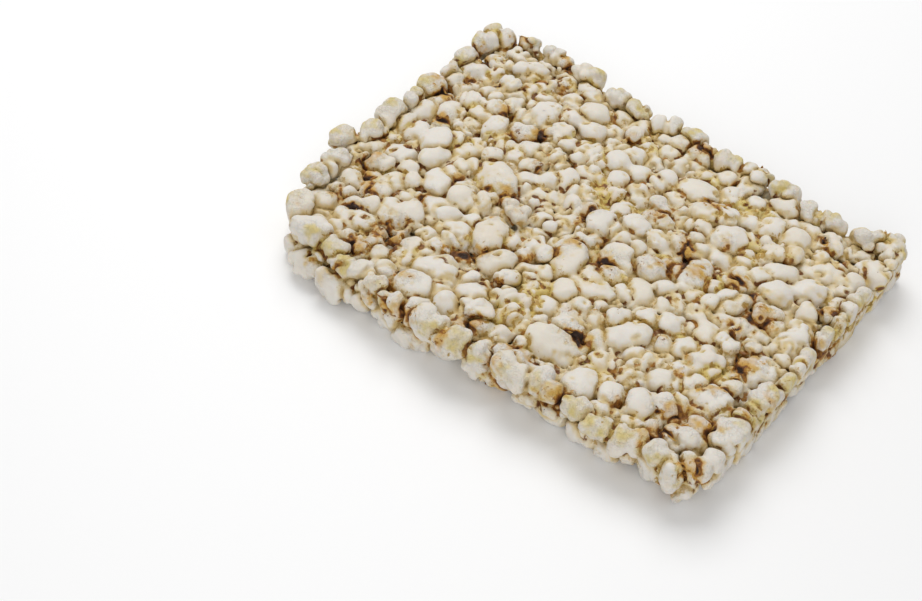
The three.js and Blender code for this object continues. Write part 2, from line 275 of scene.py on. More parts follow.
def rim_sides():
    """The rim's centre line, anticlockwise from the front edge: two ends, or centre, radius and start."""
    hx, hy = HALF_X - RIM_INSET, HALF_Y - RIM_INSET
    left, front, right, back = (r - RIM_INSET for r in CORNER_RADII)
    return (
        ((-hx + left, -hy), (hx - front, -hy)),
        ((hx - front, -hy + front), front, -math.pi / 2),
        ((hx, -hy + front), (hx, hy - right)),
        ((hx - right, hy - right), right, 0.0),
        ((hx - right, hy), (-hx + back, hy)),
        ((-hx + back, hy - back), back, math.pi / 2),
        ((-hx, hy - back), (-hx, -hy + left)),
        ((-hx + left, -hy + left), left, math.pi),
    )


def side_length(side):
    return math.dist(*side) if len(side) == 2 else side[1] * math.pi / 2


def rim_point(sides, share):
    """A point of the rim's centre line and the direction along it, by its share of the way round."""
    left = share * sum(map(side_length, sides))
    for side in sides:
        length = side_length(side)
        if left <= length:
            break
        left -= length
    t = left / length
    if len(side) == 2:
        (x0, y0), (x1, y1) = side
        return (x0 + (x1 - x0) * t, y0 + (y1 - y0) * t), ((x1 - x0) / length, (y1 - y0) / length)
    (cx, cy), radius, start = side
    angle = start + t * math.pi / 2
    point = (cx + radius * math.cos(angle), cy + radius * math.sin(angle))
    return point, (-math.sin(angle), math.cos(angle))


def edge_out(knots, x, y, nx, ny):
    """How far the edge stands out at a point whose outward direction is given."""
    if abs(ny) >= abs(nx):
        place = 0.5 + x / LENGTH if ny < 0 else 2.5 - x / LENGTH
    else:
        place = 1.5 + y / WIDTH if nx > 0 else 3.5 - y / WIDTH
    return float(np.interp(place, *zip(*knots), period=4))


def rim_row(draws, z, phase, tall_share, extra_knots):
    """A row of large kernels round the edge."""
    sides = rim_sides()
    count = round(sum(map(side_length, sides)) / RIM_PITCH)
    row = []
    for i in range(count):
        share = ((i + phase + draws.spread(RIM_SHARE_JITTER)) / count + 1) % 1
        (x, y), (tx, ty) = rim_point(sides, share)
        out = edge_out(EDGE_KNOTS, x, y, ty, -tx) + draws.spread(RIM_JITTER / 2)
        if extra_knots:
            out += edge_out(extra_knots, x, y, ty, -tx)
        size = 1 + draws.spread(RIM_SPREAD)
        centre_z = z + draws.spread(RIM_JITTER / 3)
        turn = math.atan2(ty, tx) + draws.spread(RIM_TURN)
        half = [size * h for h in RIM_HALF_SIZE]
        if draws.draw() < tall_share:
            centre_z, half[2] = TALL_Z, TALL_HALF
        centre = (x + ty * out, y - tx * out, centre_z)
        if not row or math.dist(centre[:2], row[-1].at[:2]) >= RIM_LEAST_GAP:
            row.append(Kernel(at=centre, turn=turn, half=half, kind="rim", way=(ty, -tx)))
    return row


def rim_plugs(draws):
    """Smaller grains between the two rows of the rim."""
    sides = rim_sides()
    row = []
    for i in range(PLUG_COUNT):
        (x, y), (tx, ty) = rim_point(sides, (i + draws.draw()) / PLUG_COUNT)
        out = edge_out(EDGE_KNOTS, x, y, ty, -tx) + edge_out(LOWER_KNOTS, x, y, ty, -tx) / 2
        out += PLUG_OUT + draws.spread(PLUG_JITTER)
        half = tuple(draws.between(*sizes) for sizes in (PLUG_ALONG, PLUG_ACROSS, PLUG_ACROSS))
        turn = math.atan2(ty, tx) + draws.spread(RIM_TURN)
        at = (x + ty * out, y - tx * out, PLUG_Z + draws.spread(PLUG_RISE))
        row.append(Kernel(at=at, turn=turn, half=half, kind="rim", way=(ty, -tx)))
    return row


def beyond(rim, places, gap):
    """How far each place lies outside a line this far inside the rim, and the way outward there."""
    centres = np.array([k.at[:2] for k in rim], places.dtype)
    ways = np.array([k.way for k in rim], places.dtype)
    nearest = ((places[:, None] - centres[None, :]) ** 2).sum(2).argmin(1)
    way = ways[nearest]
    return ((places - centres[nearest]) * way).sum(1) + gap, way


def settle(ends, radii, reach, rim):
    """Shoves the two ends of each kernel apart from all others until they lie side by side."""
    own = np.repeat(np.arange(len(ends)), 2)
    need = PACKING * (radii[own][:, None] + radii[own][None, :])
    need[own[:, None] == own[None, :]] = 0
    for _ in range(SETTLING_ROUNDS):
        p = ends.reshape(-1, 2)
        gap = p[:, None] - p[None, :]
        apart = np.sqrt((gap**2).sum(2)) + TINY
        push = np.maximum(need - apart, 0) / apart
        p = p + SETTLING_STEP * (gap * push[..., None]).sum(1)
        over, way = beyond(rim, p, RIM_GAP)
        ends = (p - way * np.maximum(over, 0)[:, None]).reshape(-1, 2, 2)
        middle, along = ends.mean(1), ends[:, 1] - ends[:, 0]
        along *= (reach / np.sqrt((along**2).sum(1)))[:, None]
        ends = np.stack((middle - along, middle + along), 1)
    return ends


def field_layer(draws, count, widths, rim, centre_z, kind, deep):
    """Kernels dropped in evenly and then settled side by side."""
    sizes, ends = [], []
    at_x, at_y = draws.draw(), draws.draw()
    while len(sizes) < count:
        at_x, at_y = (at_x + EVEN_STEPS[0]) % 1, (at_y + EVEN_STEPS[1]) % 1
        x = (at_x * 2 - 1) * (HALF_X - FIELD_REACH)
        y = (at_y * 2 - 1) * (HALF_Y - FIELD_REACH)
        if beyond(rim, np.array([(x, y)]), RIM_GAP)[0][0] < 0:
            across = draws.between(*widths)
            along = across * (LEAST_STRETCH + draws.draw() * MAX_STRETCH)
            turn, level = draws.draw() * math.pi, draws.draw() * LEVEL_SPREAD
            dx, dy = (along - across) * math.cos(turn), (along - across) * math.sin(turn)
            sizes.append((across, along, level))
            ends.append(((x - dx, y - dy), (x + dx, y + dy)))
    radii, lengths, _ = np.array(sizes).T
    layer = []
    for (a, b), (across, along, level) in zip(settle(np.array(ends), radii, lengths - radii, rim), sizes):
        up = across * HEIGHT_SHARE
        at = ((a[0] + b[0]) / 2, (a[1] + b[1]) / 2, centre_z(up, level))
        turn = math.atan2(b[1] - a[1], b[0] - a[0])
        half = (along * BODY_SHARE, across * BODY_SHARE, up)
        layer.append(Kernel(at=at, turn=turn, half=half, kind=kind, deep=deep))
    return layer


def in_a_hole(kernel):
    """Whether a filler would plug a dark hole of the upper face."""
    if kernel.kind != "top" or not kernel.deep:
        return False
    return any(
        dark >= HOLE_DARK and math.dist(kernel.at[:2], (x, y)) < width + HOLE_REACH
        for x, y, _, width, _, dark in TOASTED
    )


def all_kernels():
    """The upper row of the rim, and every kernel."""
    draws = Draws(SEED)
    upper = rim_row(draws, RIM_UPPER_Z, 0.0, TALL_SHARE, ())
    lower = rim_row(draws, RIM_LOWER_Z, 0.5, 0.0, LOWER_KNOTS)
    shown, filler = (FIELD_COUNT, FIELD_WIDTHS), (DEEP_COUNT, DEEP_WIDTHS)
    layers = (
        (*shown, upper, lambda up, level: FIELD_LEVEL - level - up, "top", False),
        (*shown, lower, lambda up, level: up - UNDERSIDE_PRESS * (1 - level), "bottom", False),
        (*filler, upper, lambda up, level: DEEP_LEVEL - level - up, "top", True),
        (*filler, lower, lambda up, level: DEEP_UNDERSIDE + level + up, "bottom", True),
    )
    fields = [k for layer in layers for k in field_layer(draws, *layer) if not in_a_hole(k)]
    return upper, upper + lower + fields + rim_plugs(draws)


# ---- Signed distances ----


def smooth_min(a, b, radius):
    """The lesser of two distances, rounded where they meet."""
    h = np.maximum(radius - np.abs(a - b), 0.0) / radius
    return np.minimum(a, b) - h * h * radius / 4


def pressed(distance, walls, edge):
    """Cuts off what lies beyond some walls, with edges rounded this far."""
    for wall in walls:
        distance = -smooth_min(-distance, -wall, edge)
    return distance


def plump(x, y, z, half):
    """Distance to a squarish ellipsoid at the origin, true enough near its surface."""
    a, b, c = half
    flat = np.sqrt((x / a) ** 2 + (y / b) ** 2)
    up = np.abs(z) / c
    k0 = (flat**PLUMP + up**PLUMP) ** (1 / PLUMP)
    slope = np.sqrt((x / a**2) ** 2 + (y / b**2) ** 2) / np.maximum(flat, TINY)
    share = np.maximum(k0, TINY) ** (1 - PLUMP)
    k1 = np.sqrt((flat ** (PLUMP - 1) * slope) ** 2 + (up ** (PLUMP - 1) / c) ** 2) * share
    return (k0 - 1) / np.maximum(k1, LEAST_SLOPE)


def noise_volume(rng, wavelength):
    """A tile of soft random bumps, -1 to 1 or so, whose size is the wavelength in mm."""
    n = NOISE_TILE
    spectrum = np.fft.rfftn(rng.standard_normal((n, n, n)))
    f = np.fft.fftfreq(n)
    fx, fy, fz = np.meshgrid(f, f, np.fft.rfftfreq(n), indexing="ij")
    frequency = np.sqrt(fx**2 + fy**2 + fz**2)
    peak = VOXEL / wavelength
    band = np.exp(-(((frequency - peak) / (NOISE_BAND * peak)) ** 2))
    tile = np.fft.irfftn(spectrum * band, s=(n, n, n))
    return (tile / tile.std()).astype(np.float32)


def noise_block(tile, window, shift):
    """A repeating tile's values in a window of the grid, shifted by so many voxels."""
    places = [(np.arange(s.start, s.stop) + d) % NOISE_TILE for s, d in zip(window, shift)]
    return tile[np.ix_(*places)]


class Field:
    """The voxel grid: the distance to each group of grains, and to the two nearest grains of all.

    The two nearest are measured to the grains as they were before the mould flattened them, so that
    their creases stay in place.
    """

    def __init__(self):
        self.size = tuple(int(n) for n in np.ceil((GRID_HIGH - GRID_LOW) / VOXEL))
        self.whole = tuple(slice(0, n) for n in self.size)
        self.axes = [(GRID_LOW[i] + VOXEL * np.arange(self.size[i])).astype(np.float32) for i in range(3)]
        self.all, self.first, self.second = (np.full(self.size, FAR, np.float32) for _ in range(3))
        self.groups = {group: np.full(self.size, FAR, np.float32) for group in GROUPS}
        self.owner = np.full(self.size, -1, np.int16)
        self.fold = np.zeros(self.size, np.float32)

    def window(self, centre, reach):
        """The part of the grid within so many mm of a place."""
        low = ((centre - np.array(reach) - GRID_LOW) / VOXEL).astype(int)
        high = ((centre + np.array(reach) - GRID_LOW) / VOXEL).astype(int) + 2
        return tuple(slice(max(a, 0), min(b, n)) for a, b, n in zip(low, high, self.size))

    def offsets(self, window, centre=(0, 0, 0)):
        """How far a window's voxels lie from a place, along each axis."""
        x, y, z = (self.axes[i][window[i]] - np.float32(centre[i]) for i in range(3))
        return x[:, None, None], y[None, :, None], z[None, None, :]

    def add(self, window, distance, flat, group, owner, fold):
        """Joins one grain to its group, and keeps track of the two nearest grains."""
        distance = distance.astype(np.float32)
        first, second = self.first[window], self.second[window]
        nearer = distance < first
        self.second[window] = np.where(nearer, first, np.minimum(second, distance))
        self.first[window] = np.where(nearer, distance, first)
        self.owner[window][nearer] = owner
        self.fold[window] = np.where(nearer, fold, self.fold[window])
        for mine in (self.groups[group][window], self.all[window]):
            np.minimum(mine, flat, out=mine)


def cluster(rng, a, b, c):
    """Two or three lobes side by side in a round kernel."""
    start, count = rng.uniform(0, 2 * math.pi), int(rng.integers(*CLUSTER_COUNT))
    for i in range(count):
        angle = start + (i + rng.uniform(-CLUSTER_TURN, CLUSTER_TURN)) * 2 * math.pi / count
        out = rng.uniform(*CLUSTER_OUT)
        size = rng.uniform(*(CLUSTER_THREE if count > 2 else CLUSTER_PAIR))
        centre = (a * out * math.cos(angle), b * out * math.sin(angle), c * rng.uniform(*CLUSTER_UP))
        yield centre, (a * size, b * size, c * rng.uniform(*CLUSTER_HEIGHT))


def chain(rng, a, b, c):
    """Lobes in a slightly bent row."""
    count = max(2, round(a / b * CHAIN_COUNT + rng.uniform(*CHAIN_MORE)))
    bend = rng.uniform(-CHAIN_BEND, CHAIN_BEND)
    end = CHAIN_END * b
    step = 2 * (a - end) / (count - 1)
    for i in range(count):
        u = -(a - end) + i * step
        t = u / max(a - end, TINY)
        v = b * (bend * (t * t - 0.5) + rng.uniform(-CHAIN_WANDER, CHAIN_WANDER))
        width, height = b * rng.uniform(*CHAIN_WIDTH), c * rng.uniform(*CHAIN_HEIGHT)
        yield (u, v, c * rng.uniform(*CHAIN_UP)), (max(step * CHAIN_OVERLAP, CHAIN_LEAST * b), width, height)


def knobs(rng, a, b, c, side):
    """A bunch of small lobes over a middle, on the side that shows or, at the rim, all round."""
    yield (0, 0, 0), (a * KNOB_MIDDLE, b * KNOB_MIDDLE, c * KNOB_MIDDLE)
    start, count = rng.uniform(0, 2 * math.pi), int(rng.integers(*KNOB_COUNT)) * (1 if side else 2)
    for i in range(count):
        angle = start + KNOB_TURN * i + rng.uniform(-KNOB_WANDER, KNOB_WANDER)
        lift = 1 - (i + 0.5) / count * (KNOB_DOWN if side else 2)
        flat, size = math.sqrt(1 - lift * lift), b * rng.uniform(*KNOB_SIZE)
        out = rng.uniform(*KNOB_OUT)
        u, v = (a - size) * flat * math.cos(angle) * out, (b - size) * flat * math.sin(angle) * out
        yield (u, v, (c - size) * lift * (side or 1) * out), (size, size, size)


def knobbly_share(kernel):
    """How likely a kernel is to be a bunch of knobs."""
    if kernel.kind == "rim":
        return KNOBBLY_RIM
    if kernel.deep:
        return KNOBBLY_DEEP
    return KNOBBLY_LARGE if kernel.half[1] > LARGE_KERNEL else KNOBBLY_SMALL


def lobes_of(kernel, rng):
    """A kernel's lobes, as centre and half sizes in its own frame."""
    a, b, c = kernel.half
    if rng.random() < knobbly_share(kernel):
        return list(knobs(rng, a, b, c, {"top": 1, "bottom": -1, "rim": 0}[kernel.kind]))
    if rng.random() < (WHOLE_LONG if a / b > LONG_KERNEL else WHOLE_ROUND):
        return [((0, 0, 0), (a, b, c))]
    if a / b < ROUND_KERNEL and rng.random() < CLUSTERED:
        return list(cluster(rng, a, b, c))
    return list(chain(rng, a, b, c))


def turned(x, y, turn):
    """Offsets along and across a direction."""
    cos, sin = math.cos(turn), math.sin(turn)
    return x * cos + y * sin, y * cos - x * sin


def grain(field, kernel, index, folds, swells):
    """Puts one popped kernel into the grid."""
    rng = np.random.default_rng((SEED, index))
    reach = [max(kernel.half[:2]) + MARGIN_ALONG] * 2 + [kernel.half[2] + MARGIN_UP]
    window = field.window(kernel.at, reach)
    x, y, z = field.offsets(window, kernel.at)
    u, v = turned(x, y, kernel.turn)
    lean_u, lean_v = rng.uniform(-LEAN, LEAN, 2)
    w = z - lean_u * u - lean_v * v
    lobes = lobes_of(kernel, rng)
    blend = rng.uniform(*(KNOB_BLEND if len(lobes) > MOST_LOBES else LOBE_BLEND))
    distance = None
    for (cu, cv, cw), half in lobes:
        lobe = plump(u - cu, v - cv, w - cw, half)
        distance = lobe if distance is None else smooth_min(distance, lobe, blend)
    if rng.random() < (RIDGED_RIM if kernel.kind == "rim" else RIDGED_FIELD):
        pitch, phase = rng.uniform(*RIDGE_PITCH), rng.uniform(0, 1)
        slant = rng.uniform(-RIDGE_SLANT, RIDGE_SLANT)
        wave = np.abs(np.sin(math.pi * ((u + slant * v) / pitch + phase)))
        distance = distance + rng.uniform(*RIDGE_DEPTH) * (1 - wave) ** 2
    fold = np.exp(-((noise_block(folds, window, rng.integers(0, NOISE_TILE, 3)) / FOLD_SHARPNESS) ** 2))
    fold = fold * np.float32(max(rng.uniform(*FOLDED), 0))
    distance = distance + FOLD_DEPTH * fold
    for tile, depth in swells:
        distance = distance + depth * noise_block(tile, window, rng.integers(0, NOISE_TILE, 3))
    distance = chipped(distance, kernel, field, window, rng)
    flat = flattened(distance, kernel, field, window, rng)
    field.add(window, distance, flat, group_of(kernel), index, fold)


def chipped(distance, kernel, field, window, rng):
    """Cuts a field kernel off halfway through the cake, and facets and tips a rim kernel."""
    if kernel.kind != "rim":
        z = field.offsets(window, (0, 0, MIDDLE_Z))[2]
        return np.maximum(distance, -z if kernel.kind == "top" else z)
    if kernel.way[0] > RIGHT_SIDE:
        return distance
    turn = math.atan2(kernel.way[1], kernel.way[0]) + rng.uniform(-FACET_TURN, FACET_TURN)
    lean = rng.uniform(-FACET_LEAN, FACET_LEAN)
    x, y, z = field.offsets(window, kernel.at)
    flat = turned(x, y, turn)[0] + lean * z
    walls = [flat - kernel.half[1] * rng.uniform(*FACET_DEPTH)]
    if rng.random() < TIPPED:
        tilt_x, tilt_y = rng.uniform(-TIP_TILT, TIP_TILT, 2)
        walls.append(z + tilt_x * x + tilt_y * y - kernel.half[2] * rng.uniform(*TIP_HEIGHT))
    return pressed(distance, walls, PRESS_EDGE)


def flattened(distance, kernel, field, window, rng):
    """Flattens a kernel where the mould held it."""
    x, _, z = field.offsets(window)
    if kernel.kind != "rim":
        return pressed(distance, [z - FIELD_LEVEL - rng.uniform(*FIELD_TOP)], PRESS_EDGE)
    walls = [z - THICKNESS + rng.uniform(*RIM_TOP)]
    if kernel.way[0] > RIGHT_SIDE:
        walls += [x - rng.uniform(*RIGHT_WALL), z - rng.uniform(*RIGHT_TOP)]
    return pressed(distance, walls, PRESS_EDGE)


def in_mould(field, distance):
    """Cuts the grid off at the mould's plates and sides."""
    x, y, z = field.offsets(field.whole)
    return pressed(distance, (-z, z - THICKNESS, np.abs(x) - HALF_X, np.abs(y) - HALF_Y), MOULD_EDGE)


def core(field, rim, tile):
    """Fills the inside, under the grains, as slabs that meet out of sight."""
    x, y, z = field.offsets(field.whole)
    plan = np.stack(np.broadcast_arrays(x[..., 0], y[..., 0]), -1)
    side = beyond(rim, plan.reshape(-1, 2), CORE_GAP)[0].reshape(plan.shape[:2])
    rough = CORE_ROUGH * noise_block(tile, field.whole, (0, 0, 0))
    upper = np.maximum(z - CORE_HIGH + rough, MIDDLE_Z - z)
    lower = np.maximum(CORE_LOW - z + rough, z - MIDDLE_Z)
    for kind, slab in (("top", upper), ("bottom", lower)):
        for half, cut in (("_a", x), ("_b", -x)):
            block = np.maximum(np.maximum(slab, side[..., None]), cut)
            field.add(field.whole, block, block, kind + half, -1, 0.0)


def group_of(kernel):
    x, y = kernel.at[:2]
    if kernel.kind != "rim":
        return kernel.kind + ("_a" if x < 0 else "_b")
    return "rim_near" if x / HALF_X - y / HALF_Y > 0 else "rim_far"


# ---- Where it is toasted ----


def toasted_places(rng):
    """Centre, length, width, turn and darkness of every toasted place."""
    for x, y, length, width, turn, dark in TOASTED:
        yield (x, y, TOAST_LEVEL), length, width, math.radians(turn), dark
    for _ in range(LOOSE_TOASTED):
        x, y, pick = rng.uniform(-HALF_X, HALF_X), rng.uniform(-HALF_Y, HALF_Y), rng.random()
        if pick < LOOSE_SHARES[0]:
            z = LOOSE_LEVELS[0]
        elif pick < sum(LOOSE_SHARES):
            z = LOOSE_LEVELS[1]
        else:
            z = rng.uniform(*LOOSE_LEVELS)
            side_x, side_y = SIDE_LINE
            x, y = ((x, -side_y), (side_x, y), (x, side_y), (-side_x, y))[rng.integers(0, 4)]
        length = rng.uniform(*LOOSE_LENGTH)
        width, turn = length * rng.uniform(*LOOSE_WIDTH), rng.uniform(0, math.pi)
        yield (x, y, z), length, width, turn, rng.uniform(*LOOSE_DARK)


def toast(field, rim, tile, rng):
    """How toasted each voxel is, 0 to 1, and how far it lies in yellow husk."""
    brown, husk = np.zeros(field.size, np.float32), np.zeros(field.size, np.float32)
    for centre, length, width, turn, dark in toasted_places(rng):
        reach = TOAST_REACH * length + TOAST_MARGIN
        window = field.window(centre, (reach, reach, TOAST_DEPTH * TOAST_REACH))
        x, y, z = field.offsets(window, centre)
        u, v = turned(x, y, turn)
        u, v, w = u / (TOAST_LENGTH * length), v / (TOAST_WIDTH * width), z / TOAST_DEPTH
        away = np.sqrt(u**2 + v**2 + w**2)
        away = away + TOAST_ROUGH * noise_block(tile, window, rng.integers(0, NOISE_TILE, 3))
        np.maximum(brown[window], dark * np.clip(TOAST_END - away, 0, 1), out=brown[window])
        yellow = np.clip(HUSK_END - HUSK_SLOPE * away, 0, 1) * (HUSK_LEAST + (1 - HUSK_LEAST) * dark)
        np.maximum(husk[window], yellow, out=husk[window])
    for kernel in rim:
        if rng.random() < HUSKED_RIM:
            husk_patch(field, husk, kernel, rng)
    return brown, husk


def husk_patch(field, husk, kernel, rng):
    """Adds a patch of yellow husk to the outer and upper side of a rim kernel."""
    width, (a, b, c) = rng.uniform(*HUSK_WIDTH), kernel.half
    out, up = b * rng.uniform(*HUSK_OUT), c * rng.uniform(*HUSK_UP)
    slip = a * rng.uniform(-HUSK_SLIP, HUSK_SLIP)
    (nx, ny), (x0, y0, z0) = kernel.way, kernel.at
    centre = (x0 + nx * out - ny * slip, y0 + ny * out + nx * slip, z0 + up)
    window = field.window(centre, (PATCH_REACH * width,) * 3)
    x, y, z = field.offsets(window, centre)
    away = np.sqrt(x * x + y * y + z * z) / width
    np.maximum(husk[window], np.clip(PATCH_END - away, 0, PATCH_MOST), out=husk[window])


# ---- From the grid to meshes ----


def mesh_of(name, distance):
    """A closed mesh of the grid's zero surface, in metres."""
    grid = openvdb.FloatGrid(FAR)
    grid.copyFromArray(np.ascontiguousarray(distance, np.float32))
    points, quads = grid.convertToQuads(0.0)
    mesh = bpy.data.meshes.new(name)
    places = ((points * VOXEL + GRID_LOW) * MM).astype(np.float32)
    mesh.vertices.add(len(places))
    mesh.vertices.foreach_set("co", places.ravel())
    mesh.loops.add(quads.size)
    mesh.loops.foreach_set("vertex_index", quads.astype(np.int32).ravel())
    mesh.polygons.add(len(quads))
    mesh.polygons.foreach_set("loop_start", np.arange(0, quads.size, 4, dtype=np.int32))
    mesh.update(calc_edges=True)
    mesh.validate()
    return mesh


def placed(data):
    thing = bpy.data.objects.new(data.name, data)
    bpy.context.collection.objects.link(thing)
    return thing


def thinned(mesh):
    """The mesh as an object, thinned where it has too many triangles."""
    piece = placed(mesh)
    count = 2 * len(mesh.polygons)
    if count > MOST_TRIANGLES:
        modifier = piece.modifiers.new("Thin", "DECIMATE")
        modifier.ratio = MOST_TRIANGLES / count
        graph = bpy.context.evaluated_depsgraph_get()
        thin = bpy.data.meshes.new_from_object(piece.evaluated_get(graph))
        piece.modifiers.clear()
        piece.data = thin
        bpy.data.meshes.remove(mesh)
        thin.name = piece.name
    piece.data.shade_smooth()
    return piece


def box_blur(volume, radius):
    """The grid's values averaged over a box round each voxel."""
    for axis in range(3):
        before = np.repeat(volume.take([0], axis), radius + 1, axis)
        after = np.repeat(volume.take([-1], axis), radius, axis)
        total = np.cumsum(np.concatenate([before, volume, after], axis), axis=axis, dtype=np.float64)
        n, width = volume.shape[axis], 2 * radius + 1
        difference = total.take(range(width, n + width), axis) - total.take(range(n), axis)
        volume = (difference / width).astype(np.float32)
    return volume


def steepness(volume):
    """How fast the grid's values change with each mm, also beside a kink."""
    total = np.zeros(volume.shape, np.float32)
    for axis in range(3):
        n, edge = volume.shape[axis], [(int(i == axis),) * 2 for i in range(3)]
        change = np.pad(np.abs(np.diff(volume, axis=axis)) / VOXEL, edge)
        total += np.maximum(change.take(range(n), axis), change.take(range(1, n + 1), axis)) ** 2
    return np.sqrt(total)


def sample(volume, places):
    """The grid's values between its points, at places in mm."""
    p = (places - GRID_LOW) / VOXEL
    i = np.clip(np.floor(p).astype(int), 0, np.array(volume.shape) - 2)
    t = p - i
    total = np.zeros(len(places))
    for step in np.ndindex(2, 2, 2):
        weight = np.abs(1 - np.array(step) - t).prod(1)
        total += weight * volume[tuple((i + step).T)]
    return total


def store(mesh, name, values):
    layer = mesh.attributes.new(name, "FLOAT", "POINT")
    layer.data.foreach_set("value", np.asarray(values, np.float32))


def numbers(items, name, kind=np.float32, width=1):
    """One property of all of a mesh's vertices, corners or faces."""
    found = np.empty((len(items), width), kind)
    items.foreach_get(name, found.ravel())
    return found if width > 1 else found[:, 0]


def vertices_mm(mesh):
    return numbers(mesh.vertices, "co", width=3) / MM


# ---- The map of a piece ----


def flat_map(mesh, upward):
    """Maps a mesh as seen from above or below, with what faces away in a strip beside it."""
    x, y, _ = vertices_mm(mesh)[numbers(mesh.loops, "vertex_index", np.int32)].T
    facing = numbers(mesh.polygons, "normal", width=3)[:, 2] * (1 if upward else -1)
    away = np.repeat(facing < FACING_AWAY, numbers(mesh.polygons, "loop_total", np.int32))
    v = np.where(away, share_of(y, MAP_STRIP, 1 - MAP_EDGE), share_of(y, MAP_EDGE, MAP_STRIP - MAP_EDGE))
    places = np.stack((share_of(x, MAP_EDGE, 1 - MAP_EDGE), v), 1)
    mesh.uv_layers.new(name=MAP_NAME).data.foreach_set("uv", places.astype(np.float32).ravel())


def share_of(values, low, high):
    return low + (high - low) * (values - values.min()) / np.ptp(values)


# ---- Bran flakes ----


def flake_places(pieces, between, rng):
    """Places in the toasted creases, with the way out of the surface and the way along the crease."""
    found = []
    for piece in pieces:
        mesh = piece.data
        places, normals = vertices_mm(mesh), numbers(mesh.vertices, "normal", width=3)
        brown, crease = (numbers(mesh.attributes[name].data, "value") for name in ("brown", "crease"))
        in_crease = (crease > FLAKE_CREASE[0]) & (crease < FLAKE_CREASE[1])
        for i in rng.permutation(np.nonzero((brown > FLAKE_BROWN) & in_crease)[0]):
            if all(math.dist(places[i], other) > FLAKE_APART for other, _, _ in found):
                normal = Vector(normals[i])
                along = normal.cross(uphill(between, places[i]))
                if along.length > TINY:
                    found.append((places[i], normal, along.normalized()))
    return found


def uphill(volume, place):
    """The way in which the grid's values rise at a place."""
    here, *ahead = sample(volume, place + VOXEL * np.vstack((np.zeros(3), np.eye(3)))).tolist()
    return Vector(ahead) - Vector([here] * 3)


def flake_points(centre, normal, along, rng):
    """The points of one thin bent sliver, ring by ring from end to end."""
    around, down = FLAKE_SIDES
    length, turn = rng.uniform(*FLAKE_LENGTH), rng.uniform(-FLAKE_TURN, FLAKE_TURN)
    width, curl = rng.uniform(*FLAKE_WIDTH), rng.uniform(-FLAKE_CURL, FLAKE_CURL)
    along = Matrix.Rotation(turn, 3, normal) @ along
    across = normal.cross(along)
    normal = (normal + across * rng.uniform(-FLAKE_TIP, FLAKE_TIP)).normalized()
    across = normal.cross(along)
    wave_u, wave_v, wave_turn = FLAKE_WAVES
    for i in range(down + 1):
        for j in range(around):
            lift, angle = math.pi * i / down, 2 * math.pi * j / around
            u = math.cos(lift)
            v, w = math.sin(lift) * math.cos(angle), math.sin(lift) * math.sin(angle)
            ragged = 1 + FLAKE_RAGGED * math.sin(wave_u * u + wave_v * v + turn * wave_turn)
            spot = along * (u * length / 2) + across * (v * width / 2 * ragged)
            spot += normal * (w * FLAKE_THICKNESS / 2 + curl * u * u + FLAKE_LIFT - curl / 2)
            spot = np.clip(Vector(centre) + spot, (-HALF_X, -HALF_Y, 0), (HALF_X, HALF_Y, THICKNESS))
            yield spot * MM


def flakes(places, rng):
    """The slivers of bran, all as one piece."""
    points, faces = [], []
    around, down = FLAKE_SIDES
    for centre, normal, along in places:
        base = len(points)
        points.extend(flake_points(centre, normal, along, rng))
        for i in range(down):
            for j in range(around):
                a, b = base + i * around + j, base + i * around + (j + 1) % around
                faces.append((a, b, b + around, a + around))
    mesh = bpy.data.meshes.new("bran_flakes")
    mesh.from_pydata(points, [], faces)
    form = bmesh.new()
    form.from_mesh(mesh)
    bmesh.ops.remove_doubles(form, verts=form.verts, dist=WELD * MM)
    bmesh.ops.recalc_face_normals(form, faces=form.faces)
    form.to_mesh(mesh)
    form.free()
    mesh.shade_smooth()
    return placed(mesh)


# ---- Materials ----


